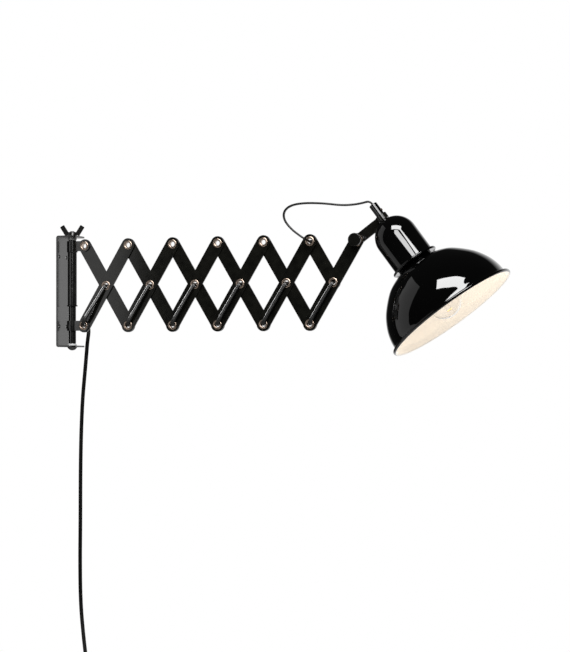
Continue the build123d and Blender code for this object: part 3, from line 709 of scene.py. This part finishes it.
# ---- eyelets ------------------------------------------------------------------------------------
def eyelet_tree():
    """Puts a hollow rivet at each point; the points carry how far its two flanges lie."""
    tree = bpy.data.node_groups.new("eyelets", "GeometryNodeTree")
    for side in ("INPUT", "OUTPUT"):
        tree.interface.new_socket("Geometry", in_out=side, socket_type="NodeSocketGeometry")
    for label, kind in (("Flange radius", "Float"), ("Bore radius", "Float"), ("Lip", "Float"),
                        ("Material", "Material")):
        tree.interface.new_socket(label, in_out="INPUT", socket_type="NodeSocket" + kind)
    start = add(tree, "NodeGroupInput")

    def maths(operation, a, b):
        made = add(tree, "ShaderNodeMath", operation=operation)
        for k, value in enumerate((a, b)):
            if isinstance(value, (int, float)):
                made.inputs[k].default_value = value
            else:
                tree.links.new(value, made.inputs[k])
        return made.outputs[0]

    flange, bore, lip = (start.outputs[n] for n in ("Flange radius", "Bore radius", "Lip"))
    mid = maths("MULTIPLY", maths("ADD", flange, bore), 0.5)
    half = maths("MULTIPLY", maths("SUBTRACT", flange, bore), 0.5)
    # rolled flange: an ellipse swept round the bore
    path = add(tree, "GeometryNodeCurvePrimitiveCircle", {"Radius": mid}, Resolution=48)
    ring = add(tree, "GeometryNodeCurvePrimitiveCircle", Resolution=16, Radius=1.0)
    oval = add(tree, "ShaderNodeCombineXYZ", {"X": half, "Y": lip})
    section = add(tree, "GeometryNodeTransform", {"Geometry": ring.outputs[0],
                                                  "Scale": oval.outputs[0]})
    rolled = add(tree, "GeometryNodeCurveToMesh", {"Curve": path.outputs[0],
                                                   "Profile Curve": section.outputs[0]})
    # barrel: a thin wall, one unit long, stretched between the flanges
    wall = add(tree, "GeometryNodeCurvePrimitiveQuadrilateral")
    wall.mode = "RECTANGLE"
    wall.inputs["Width"].default_value = BARREL_WALL * MM
    wall.inputs["Height"].default_value = 1.0
    barrel_path = add(tree, "GeometryNodeCurvePrimitiveCircle", Resolution=48)
    tree.links.new(maths("ADD", bore, BARREL_MIDDLE * MM), barrel_path.inputs["Radius"])
    barrel = add(tree, "GeometryNodeCurveToMesh", {"Curve": barrel_path.outputs[0],
                                                   "Profile Curve": wall.outputs[0]})
    # the primitives lie flat, and the rivets' axes run along Y
    front, back = (add(tree, "GeometryNodeInputNamedAttribute", data_type="FLOAT",
                       Name=name).outputs[0] for name in ("front", "back"))
    between = maths("MULTIPLY", maths("ADD", front, back), 0.5)
    stretch = add(tree, "ShaderNodeCombineXYZ", {"Y": maths("SUBTRACT", back, front)},
                  X=1.0, Z=1.0)
    parts = []
    for solid, depth, scale in ((rolled, front, None), (rolled, back, None),
                                (barrel, between, stretch)):
        stood = add(tree, "GeometryNodeTransform", {"Geometry": solid.outputs[0]})
        stood.inputs["Rotation"].default_value = (math.radians(90), 0, 0)
        moved = add(tree, "ShaderNodeCombineXYZ", {"Y": depth})
        placed = add(tree, "GeometryNodeSetPosition", {"Geometry": start.outputs["Geometry"],
                                                       "Offset": moved.outputs[0]})
        points = add(tree, "GeometryNodeInstanceOnPoints", {"Points": placed.outputs[0],
                                                            "Instance": stood.outputs[0]})
        if scale:
            tree.links.new(scale.outputs[0], points.inputs["Scale"])
        parts.append(points)
    joined = add(tree, "GeometryNodeJoinGeometry")
    for part in parts:
        tree.links.new(part.outputs[0], joined.inputs[0])
    real = add(tree, "GeometryNodeRealizeInstances", {"Geometry": joined.outputs[0]})
    dressed = add(tree, "GeometryNodeSetMaterial", {"Geometry": real.outputs[0],
                                                    "Material": start.outputs["Material"]})
    add(tree, "NodeGroupOutput", {"Geometry": dressed.outputs[0]})
    return tree


FLANGE_GAP, FLANGE_LIP = 0.2, 0.8
BARREL_WALL, BARREL_MIDDLE = 0.7, 0.38  # the wall's thickness, and its middle outside the bore
LUG_FRONT, LUG_BACK = -4.65, 4.45      # outer faces of the knuckles' lugs


class LAMP_OT_eyelets(bpy.types.Operator):
    """Hollow rivets that join the bars"""
    bl_idname = "lamp.eyelets"
    bl_label = "Hollow rivets"

    def execute(self, context):
        size = context.scene.lamp_sizes
        back = BACK_FACE + FLANGE_GAP
        rows = []
        for i in range(CROSSINGS):
            row = [(low(i), LUG_FRONT if i == 0 else FRONT_FACE, back),
                   (middle(i), FRONT_FACE, back)]
            if i < CROSSINGS - 1:
                row.append((high(i + 1), FRONT_FACE, back))
            rows.append((f"bar_rivets_{i + 1}", f"front_bar_{i + 1}", row))
        rows.append(("upper_knuckle_rivet", "swivel", [(high(0), FRONT_FACE, LUG_BACK)]))
        tree = eyelet_tree()
        for node, body, row in rows:
            mesh = bpy.data.meshes.new(node)
            mesh.from_pydata([p * MM for p, _, _ in row], [], [])
            for name, column in (("front", 1), ("back", 2)):
                spots = mesh.attributes.new(name, "FLOAT", "POINT")
                for k, entry in enumerate(row):
                    spots.data[k].value = entry[column] * MM
            seeds = bpy.data.objects.new(node + "_points", mesh)
            context.scene.collection.objects.link(seeds)
            mod = seeds.modifiers.new("eyelets", "NODES")
            mod.node_group = tree
            set_input(mod, "Flange radius", size.eyelet)
            set_input(mod, "Bore radius", size.bore)
            set_input(mod, "Lip", FLANGE_LIP * MM)
            set_input(mod, "Material", made_finishes["nickel"])
            made = realized(seeds)
            made.name = node + "_eyelets"
            made.shade_smooth()
            made.set_sharp_from_angle(angle=math.radians(50))
            keep(node + "_eyelets", made, made_finishes["nickel"], body, [node])
        return {"FINISHED"}


# ---- shade and neck -----------------------------------------------------------------------------
# Radius and depth below the flange, down the outside of the dome
SHADE_LINE = [(24.4, 3.3), (28.2, 4.9), (34.2, 7.2), (41.4, 10.5), (49.0, 15.2), (59.2, 24.6),
              (67.8, 34.4), (73.9, 44.2), (78.3, 54.0), (80.9, 63.8), (82.1, 73.0)]
MOUTH_R, RIM_R, SHADE_DEPTH = 20.5, 87.0, 79.9
NECK_R, NECK_TOP, NECK_WALL = 27.0, -1.1, 1.2
FLANGE_R, FLANGE_T, FLANGE_BEAD = 29.7, 1.1, 1.5
NECK_FILLET, STEM_R, SEATED = 1.2, 5.3, 0.03


class LAMP_OT_shade(bpy.types.Operator):
    """Domed shade, black outside and white inside, and the neck over it"""
    bl_idname = "lamp.shade"
    bl_label = "Shade and neck"

    def execute(self, context):
        size = context.scene.lamp_sizes
        wall, bead = size.shade_wall / MM, size.bead / MM
        # each outline goes down the outside and back up the inside
        skin = curve_through([Vector((r, FLANGE_Z - s)) for r, s in SHADE_LINE], 6)
        inner = []
        for k, p in enumerate(skin):
            along = skin[min(k + 1, len(skin) - 1)] - skin[max(k - 1, 0)]
            along.normalize()
            inner.append(p + wall * Vector((along.y, -along.x)))
        centre = (RIM_R - bead, FLANGE_Z - SHADE_DEPTH + bead)
        outside = arc(centre, bead, 140, -80, 16)
        under = arc(centre, bead, -80, -185, 10)
        top = skin[0]
        line = [(MOUTH_R, FLANGE_Z, 0), (top.x - 1, FLANGE_Z, 0)]
        line += [(p.x, p.y, 0) for p in skin + outside]
        line += [(p.x, p.y, 1) for p in under[1:]]
        line += [(p.x, p.y, 1) for p in reversed(inner)]
        line += [(MOUTH_R, top.y, 1)]
        mesh = lathe("shade_spinning", line, sides=192)
        keep("shade_spinning", mesh, [made_finishes["gloss"], made_finishes["white"]], "head",
             ["shade"])

        dome_z = NECK_TOP - NECK_R
        base = FLANGE_Z + FLANGE_T
        hole = math.degrees(math.acos((STEM_R + SEATED) / NECK_R))
        line = [(p.x, p.y, 0) for p in arc((0, dome_z), NECK_R, hole, 0, 24)]
        line += [(p.x, p.y, 0) for p in arc((NECK_R + NECK_FILLET, base + NECK_FILLET),
                                            NECK_FILLET, 180, 270, 5)]
        line += [(p.x, p.y, 0) for p in arc((FLANGE_R, base - FLANGE_BEAD / 2), FLANGE_BEAD, 88,
                                            -150, 16)]
        line += [(MOUTH_R + 1, FLANGE_Z, 0), (MOUTH_R + 1, base, 0),
                 (NECK_R - NECK_WALL, base, 0)]
        line += [(p.x, p.y, 0) for p in arc((0, dome_z), NECK_R - NECK_WALL, 0, hole, 20)]
        keep("neck_spinning", lathe("neck_spinning", line, sides=160), made_finishes["gloss"],
             "head", ["neck_cap"])
        return {"FINISHED"}


# ---- lamp bulb ----------------------------------------------------------------------------------
BULB_DROP, BULB_R, BULB_NECK_R = 59.4, 22.6, 9.5      # its centre is below the flange
BULB_LENGTH, CAP_R, CAP_LENGTH = 78.0, 6.9, 26.0
GLASS_WALL, GLASS_FLARE = 0.7, (0.9, 3.0)             # the flare is out from and below the cap
FILAMENT_DROP, FILAMENT_HALF, FILAMENT_R = 14.0, 3.2, 0.8
FILAMENT_WIRE, HOLDING_WIRE = 0.9, 0.3
LIGHT_DROP = 6.5


class LAMP_OT_bulb(bpy.types.Operator):
    """Clear golf-ball lamp bulb with its filament"""
    bl_idname = "lamp.bulb"
    bl_label = "Lamp bulb"

    def execute(self, context):
        centre = FLANGE_Z - BULB_DROP
        cap_foot = centre - BULB_R + BULB_LENGTH - CAP_LENGTH
        out, down = GLASS_FLARE
        join = math.degrees(math.acos(BULB_NECK_R / BULB_R))
        glass = arc((0, centre), BULB_R, -90, join, 30)
        glass += [Vector((CAP_R + out, cap_foot - down)), Vector((CAP_R, cap_foot))]
        inner = [Vector((CAP_R - GLASS_WALL, cap_foot)),
                 Vector((CAP_R + out - GLASS_WALL, cap_foot - down))]
        inner += arc((0, centre), BULB_R - GLASS_WALL, join, -90, 30)
        line = [(max(p.x, 0), p.y, 0) for p in glass + inner]
        keep("bulb_blown", lathe("bulb_blown", line, sides=96, closed=False),
             made_finishes["glass"], "head", ["bulb_glass"])

        # coiled filament across the axis, between two wires
        spot = HEAD + STEM * (centre - FILAMENT_DROP)
        coil = [spot + ARM * (FILAMENT_HALF * (k / 12 - 1))
                + OUT * (FILAMENT_R * math.sin(k * math.pi / 2)) for k in range(25)]
        mesh = flat_tube("filament", [p * MM for p in coil], UP, FILAMENT_WIRE * MM,
                         FILAMENT_WIRE * MM, sides=8, groove=0)
        keep("filament", mesh, made_finishes["filament"], "head", [])
        for k, side in enumerate((-1, 1)):
            # from the cap down, spreading towards the filament's end
            wire = [(side * 1.2, cap_foot), (side * 1.6, centre + 6),
                    (side * FILAMENT_HALF, centre - FILAMENT_DROP)]
            run = [(HEAD + ARM * a + STEM * z) * MM for a, z in wire]
            mesh = flat_tube(f"filament_wire_{k + 1}", run, OUT, HOLDING_WIRE * MM,
                             HOLDING_WIRE * MM, sides=8, groove=0)
            keep(f"filament_wire_{k + 1}", mesh, made_finishes["nickel"], "head", [])

        light = bpy.data.lights.new("bulb light", "POINT")
        light.energy = 0.12
        light.color = linear("#FFF0E0")[:3]
        light.shadow_soft_size = 0.012
        source = bpy.data.objects.new("bulb light", light)
        context.scene.collection.objects.link(source)
        source.location = (HEAD + STEM * (centre - LIGHT_DROP)) * MM
        source.parent = frame["bodies"]["head"]
        source.visible_camera = source.visible_glossy = source.visible_transmission = False
        return {"FINISHED"}


# ---- wing nut and metalwork ---------------------------------------------------------------------
SPINDLE_X, BOLT_R, EAR_TOP = 15.1, 3.03, 72.0
NUT_R, NUT_TOP_R, NUT_H, NUT_TURN = 6.7, 5.4, 5.2, math.radians(14)
WING_W, WING_T, WING_LEN, WING_EDGE = 6.0, 2.6, 13.6, 0.45
WING_FOOT, WING_LEAN = (6.3, 1.6), math.radians(32)


def on_spindle(r, z, angle):
    """Point at radius r and height z of the spindle's axis."""
    return Vector((SPINDLE_X + r * math.cos(angle), r * math.sin(angle), z)) * MM


class LAMP_OT_wing_nut(bpy.types.Operator):
    """Wing nut: a tapered hub with two square-ended wings, in one skin"""
    bl_idname = "lamp.wing_nut"
    bl_label = "Wing nut"

    def execute(self, context):
        line = [(BOLT_R, EAR_TOP, 0), (NUT_R, EAR_TOP, 0), (NUT_TOP_R, EAR_TOP + NUT_H, 0),
                (BOLT_R, EAR_TOP + NUT_H, 0)]
        nut = bpy.data.objects.new("nut hub", lathe("nut hub", line, on_spindle, 48))
        context.scene.collection.objects.link(nut)
        wings = []
        for side in (-1, 1):
            bm = bmesh.new()
            bmesh.ops.create_cube(bm, size=1.0)
            bmesh.ops.scale(bm, verts=bm.verts, vec=(WING_W, WING_T, WING_LEN))
            bmesh.ops.bevel(bm, geom=bm.edges[:], offset=WING_EDGE, segments=2, affect="EDGES")
            bmesh.ops.translate(bm, verts=bm.verts, vec=(0, 0, WING_LEN / 2))
            turn = (Matrix.Translation((SPINDLE_X, 0, EAR_TOP + WING_FOOT[1]))
                    @ Matrix.Rotation(NUT_TURN, 4, "Z")
                    @ Matrix.Translation((side * WING_FOOT[0], 0, 0))
                    @ Matrix.Rotation(side * WING_LEAN, 4, "Y"))
            bmesh.ops.transform(bm, matrix=Matrix.Scale(MM, 4) @ turn, verts=bm.verts)
            mesh = bpy.data.meshes.new("wing")
            bm.to_mesh(mesh)
            bm.free()
            wing = bpy.data.objects.new("wing", mesh)
            context.scene.collection.objects.link(wing)
            union = nut.modifiers.new("wing", "BOOLEAN")
            union.operation, union.object, union.solver = "UNION", wing, "EXACT"
            wings.append(wing)
        mesh = realized(nut)
        for wing in wings:
            bpy.data.objects.remove(wing)
        mesh.name = "wing_nut_pressing"
        mesh.materials.clear()
        mesh.shade_smooth()
        mesh.set_sharp_from_angle(angle=math.radians(38))
        keep("wing_nut_pressing", mesh, made_finishes["bracket"], "wing_nut", ["wing_nut"])
        return {"FINISHED"}


class LAMP_OT_metalwork(bpy.types.Operator):
    """Finishes of the solids that stay as they are"""
    bl_idname = "lamp.metalwork"
    bl_label = "Metalwork"

    def execute(self, context):
        m = made_finishes
        bars = [f"front_bar_{i}" for i in range(1, 7)] + [f"back_bar_{i}" for i in range(1, 6)]
        dress([*bars, "half_bar", "head_arm"], m["bar"])
        dress(["wall_bracket", "spindle_tube", "spacer_sleeve", "spacer_rings", "upper_knuckle",
               "lower_knuckle", "spindle_bolt"], m["bracket"])
        dress(["clamp_washer", "clamp_screw", "head_nuts", "stem_screw"], m["nickel"])
        dress(["spindle_washers"], m["zinc"])
        dress(["clamp_knob"], m["knob"])
        dress(["stem"], m["gloss"])
        dress(["lampholder"], m["holder"])
        dress(["bulb_cap"], m["brass"])
        dress(["stem_cable"], m["flex"])
        dress(["plug_body"], m["plug"])
        dress(["plug_pins"], m["nickel"])
        dress(["coil_tie"], m["tie"])
        return {"FINISHED"}


class LAMP_OT_strips(bpy.types.Operator):
    """Lights flagged off some of the finished pieces, or on the strands only"""
    bl_idname = "lamp.strips"
    bl_label = "Flagged lights"

    def execute(self, context):
        shade, neck = (bpy.data.objects[n] for n in ("shade_spinning", "neck_spinning"))
        softbox("front fill", (-0.842, 0.02, 0.54), 2.6, (0.8, 1.2), 3.4, flagged=[shade, neck])
        softbox("neck strip", (-0.13, 0.42, 0.90), 1.6, (0.52, 0.75), 12, flagged=[shade])
        strand = (middle(0) - low(0)).normalized()
        softbox("cable strip", (-0.80, 0.38, 0.46), 1.3, (0.30, 0.80), 56, along=strand,
                aim=(200, 0, 0), only=[o for o in bpy.data.objects if o.name.endswith("_flex")])
        return {"FINISHED"}


class LAMP_PT_panel(bpy.types.Panel):
    """Steps of the lamp's making"""
    bl_idname = "LAMP_PT_panel"
    bl_label = "Accordion wall lamp"
    bl_space_type = "VIEW_3D"
    bl_region_type = "UI"
    bl_category = "Lamp"

    def draw(self, context):
        for step in STEPS:
            self.layout.operator(step.bl_idname)
        for group in (context.scene.lamp_sizes, context.scene.lamp_finish):
            for key in group.__annotations__:
                self.layout.prop(group, key)


STEPS = (LAMP_OT_stage, LAMP_OT_free_flex, LAMP_OT_held_flex, LAMP_OT_eyelets, LAMP_OT_shade,
         LAMP_OT_bulb, LAMP_OT_wing_nut, LAMP_OT_metalwork, LAMP_OT_strips)
CLASSES = (LampFinish, LampSizes, *STEPS, LAMP_PT_panel)
made_finishes = {}


def register():
    for one in CLASSES:
        bpy.utils.register_class(one)
    bpy.types.Scene.lamp_finish = bpy.props.PointerProperty(type=LampFinish)
    bpy.types.Scene.lamp_sizes = bpy.props.PointerProperty(type=LampSizes)


def unregister():
    del bpy.types.Scene.lamp_sizes
    del bpy.types.Scene.lamp_finish
    for one in reversed(CLASSES):
        bpy.utils.unregister_class(one)


def main():
    register()
    made_finishes.update(finishes())
    bpy.ops.lamp.stage()
    bpy.ops.lamp.free_flex()
    bpy.ops.lamp.held_flex()
    bpy.ops.lamp.eyelets()
    bpy.ops.lamp.shade()
    bpy.ops.lamp.bulb()
    bpy.ops.lamp.wing_nut()
    bpy.ops.lamp.metalwork()
    bpy.ops.lamp.strips()


if __name__ == "__main__":
    main()
